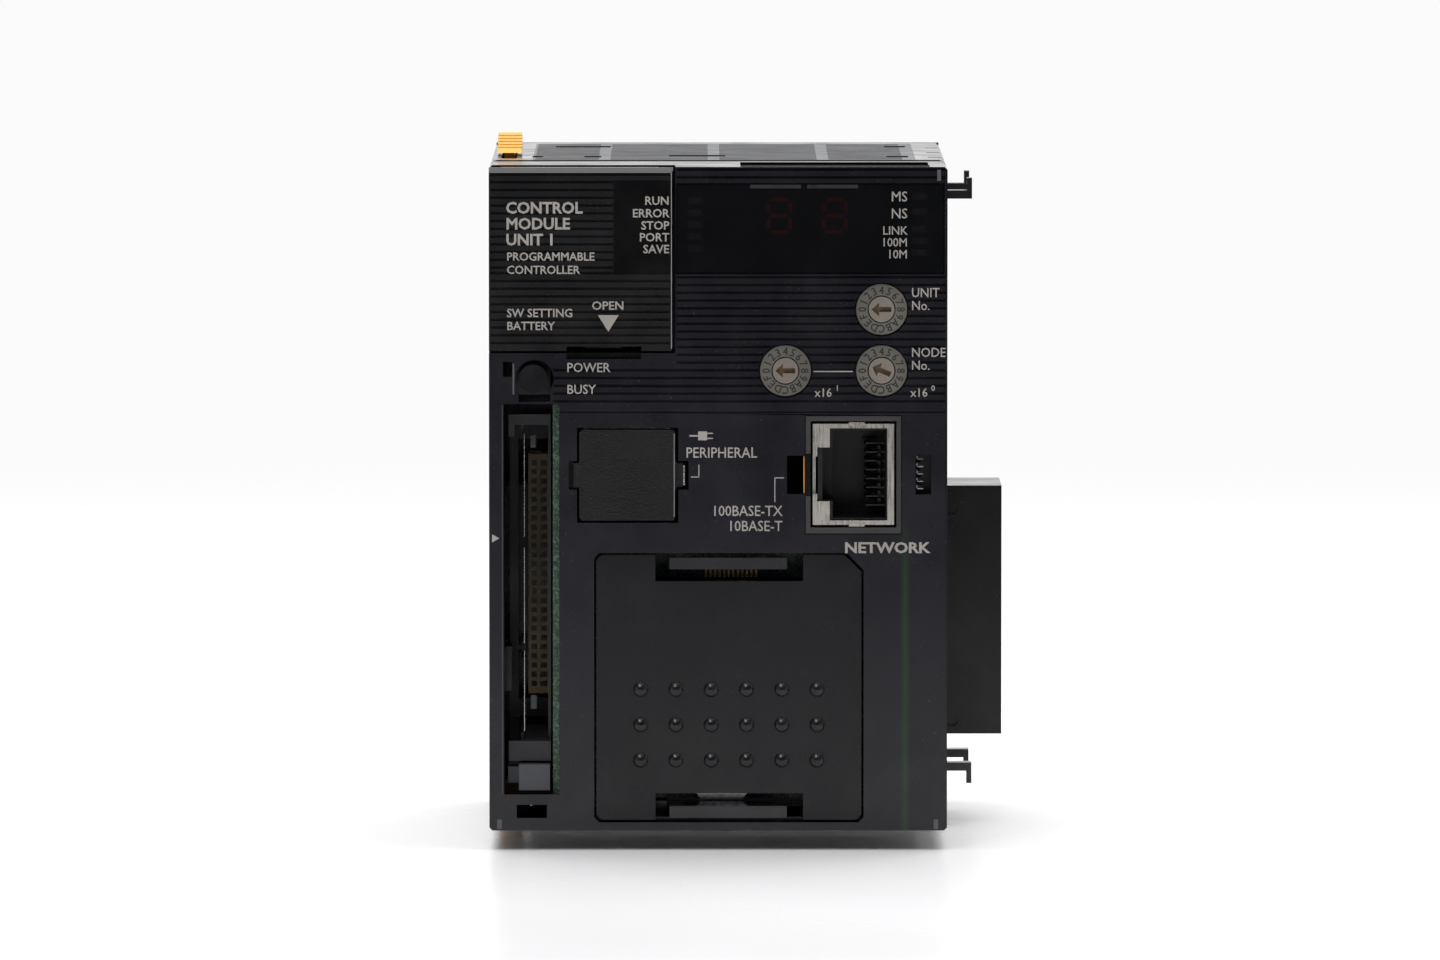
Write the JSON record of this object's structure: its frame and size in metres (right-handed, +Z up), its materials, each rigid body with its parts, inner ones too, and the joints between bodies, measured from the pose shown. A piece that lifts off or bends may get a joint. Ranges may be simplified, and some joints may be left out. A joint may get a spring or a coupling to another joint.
{
  "type": "plc module",
  "caption": "Rail-mounted programmable controller module with network port, card slot, rotary address dials, hinged battery lid and option bay.",
  "frame": {"origin": "under the middle of the whole module's box, at the foot of the lower locking slider", "axes": "+X to the right as seen from the front, +Y to the back where the mounting rail is, +Z up; the face with the ports looks along -Y"},
  "size_m": [0.0702, 0.075, 0.0954],
  "materials": {
    "gloss_black": "gloss, faintly smoked",
    "satin_black": "finely textured",
    "smoked_window": "gloss, dark smoked",
    "display_black": "gloss",
    "mid_grey": "satin",
    "dial_cream": "satin",
    "slider_amber": "satin",
    "board_green": "solder mask",
    "tin_metal": "tinned",
    "gold_contact": "plated",
    "beige_plastic": "satin",
    "white_plastic": "satin",
    "red_lead": "smooth insulation"
  },
  "bodies": {
    "module": {"front_cover": "gloss_black", "rear_case": "gloss_black", "top_vent_grille": "gloss_black", "bottom_vent_grille": "gloss_black", "bus_plug": "gloss_black", "back_cover": "satin_black", "bus_socket": "satin_black", "option_connector": "satin_black", "usb_tongue": "satin_black", "jack_insert": "satin_black", "display_window": "smoked_window", "digit_display_tens": "display_black", "digit_display_units": "display_black", "dip_switch_body": "mid_grey", "card_power_switch": "mid_grey", "card_guide": "mid_grey", "unit_dial_body": "dial_cream", "node_high_dial_body": "dial_cream", "node_low_dial_body": "dial_cream", "cpu_board": "board_green", "network_board": "board_green", "display_board": "board_green", "option_board": "board_green", "usb_shell": "tin_metal", "jack_shield": "tin_metal", "capacitor_can": "tin_metal", "eject_pivot_post": "tin_metal", "jack_contacts": "gold_contact", "card_connector": "beige_plastic", "battery_socket": "beige_plastic", "battery_plug": "white_plastic", "battery_cell": "white_plastic", "status_light_guide": "white_plastic", "network_light_guide": "white_plastic", "service_header": "white_plastic", "battery_lead": "red_lead"},
    "battery_lid": {"battery_lid": "gloss_black"},
    "usb_lid": {"usb_lid": "satin_black"},
    "option_cover": {"option_cover": "satin_black"},
    "option_latch_top": {"option_latch_top": "satin_black"},
    "option_latch_bottom": {"option_latch_bottom": "satin_black"},
    "card_power_button": {"card_power_button": "satin_black"},
    "eject_button": {"eject_button": "mid_grey"},
    "eject_lever": {"eject_lever": "tin_metal"},
    "card_pusher": {"card_pusher": "tin_metal"},
    "unit_dial_rotor": {"unit_dial_rotor": "dial_cream"},
    "node_high_dial_rotor": {"node_high_dial_rotor": "dial_cream"},
    "node_low_dial_rotor": {"node_low_dial_rotor": "dial_cream"},
    "top_slider": {"top_slider": "slider_amber"},
    "bottom_slider": {"bottom_slider": "slider_amber"},
    "rail_lock_pin": {"rail_lock_pin": "satin_black"},
    "dip_actuator_1": {"dip_actuator_1": "white_plastic"},
    "dip_actuator_2": {"dip_actuator_2": "white_plastic"},
    "dip_actuator_3": {"dip_actuator_3": "white_plastic"},
    "dip_actuator_4": {"dip_actuator_4": "white_plastic"},
    "dip_actuator_5": {"dip_actuator_5": "white_plastic"},
    "dip_actuator_6": {"dip_actuator_6": "white_plastic"},
    "dip_actuator_7": {"dip_actuator_7": "white_plastic"},
    "dip_actuator_8": {"dip_actuator_8": "white_plastic"}
  },
  "joints": [
    {"name": "battery_lid_hinge", "type": "hinge", "parent": "module", "child": "battery_lid", "pos_m": [-0.02265, -0.0351, 0.0907], "axis": [-1, 0, 0], "range_deg": [0, 100]},
    {"name": "usb_lid_hinge", "type": "hinge", "parent": "module", "child": "usb_lid", "pos_m": [-0.0234, -0.0371, 0.05095], "axis": [0, 0, -1], "range_deg": [0, 95]},
    {"name": "option_cover_pull", "type": "slide", "parent": "module", "child": "option_cover", "axis": [0, -1, 0], "range_m": [0, 0.02]},
    {"name": "option_latch_top_flex", "type": "hinge", "parent": "option_cover", "child": "option_latch_top", "pos_m": [-0.00275, -0.0289, 0.0387], "axis": [1, 0, 0], "range_deg": [0, 6], "stiffness_Nm_per_rad": 0.05},
    {"name": "option_latch_bottom_flex", "type": "hinge", "parent": "option_cover", "child": "option_latch_bottom", "pos_m": [-0.00275, -0.0289, 0.0055], "axis": [-1, 0, 0], "range_deg": [0, 6], "stiffness_Nm_per_rad": 0.05},
    {"name": "card_power_press", "type": "slide", "parent": "module", "child": "card_power_button", "axis": [0, 1, 0], "range_m": [0, 0.001], "stiffness_N_per_m": 400, "springref_m": -0.001},
    {"name": "eject_press", "type": "slide", "parent": "module", "child": "eject_button", "axis": [0, 1, 0], "range_m": [0, 0.0035]},
    {"name": "eject_lever_turn", "type": "hinge", "parent": "module", "child": "eject_lever", "pos_m": [-0.0321, -0.0023, 0.0247], "axis": [1, 0, 0], "range_deg": [0, 15]},
    {"name": "card_pusher_slide", "type": "slide", "parent": "module", "child": "card_pusher", "axis": [0, -1, 0], "range_m": [0, 0.0036]},
    {"name": "unit_dial_turn", "type": "hinge", "parent": "module", "child": "unit_dial_rotor", "pos_m": [0.018, -0.0372, 0.0734], "axis": [0, 1, 0], "continuous": true},
    {"name": "node_high_dial_turn", "type": "hinge", "parent": "module", "child": "node_high_dial_rotor", "pos_m": [0.005, -0.0372, 0.0651], "axis": [0, 1, 0], "continuous": true},
    {"name": "node_low_dial_turn", "type": "hinge", "parent": "module", "child": "node_low_dial_rotor", "pos_m": [0.018, -0.0372, 0.0651], "axis": [0, 1, 0], "continuous": true},
    {"name": "top_slider_unlock", "type": "slide", "parent": "module", "child": "top_slider", "axis": [0, -1, 0], "range_m": [0, 0.008]},
    {"name": "bottom_slider_unlock", "type": "slide", "parent": "module", "child": "bottom_slider", "axis": [0, -1, 0], "range_m": [0, 0.008]},
    {"name": "rail_lock_release", "type": "slide", "parent": "module", "child": "rail_lock_pin", "axis": [0, 0, -1], "range_m": [0, 0.003]},
    {"name": "dip_switch_1", "type": "slide", "parent": "module", "child": "dip_actuator_1", "axis": [1, 0, 0], "range_m": [0, 0.0016]},
    {"name": "dip_switch_2", "type": "slide", "parent": "module", "child": "dip_actuator_2", "axis": [1, 0, 0], "range_m": [0, 0.0016]},
    {"name": "dip_switch_3", "type": "slide", "parent": "module", "child": "dip_actuator_3", "axis": [1, 0, 0], "range_m": [0, 0.0016]},
    {"name": "dip_switch_4", "type": "slide", "parent": "module", "child": "dip_actuator_4", "axis": [1, 0, 0], "range_m": [0, 0.0016]},
    {"name": "dip_switch_5", "type": "slide", "parent": "module", "child": "dip_actuator_5", "axis": [1, 0, 0], "range_m": [0, 0.0016]},
    {"name": "dip_switch_6", "type": "slide", "parent": "module", "child": "dip_actuator_6", "axis": [1, 0, 0], "range_m": [0, 0.0016]},
    {"name": "dip_switch_7", "type": "slide", "parent": "module", "child": "dip_actuator_7", "axis": [1, 0, 0], "range_m": [0, 0.0016]},
    {"name": "dip_switch_8", "type": "slide", "parent": "module", "child": "dip_actuator_8", "axis": [1, 0, 0], "range_m": [0, 0.0016]}
  ],
  "couplings": [
    {"joint": "eject_lever_turn", "follows": "eject_press", "rad_per_m": 71.43},
    {"joint": "card_pusher_slide", "follows": "eject_press", "ratio": 1}
  ]
}
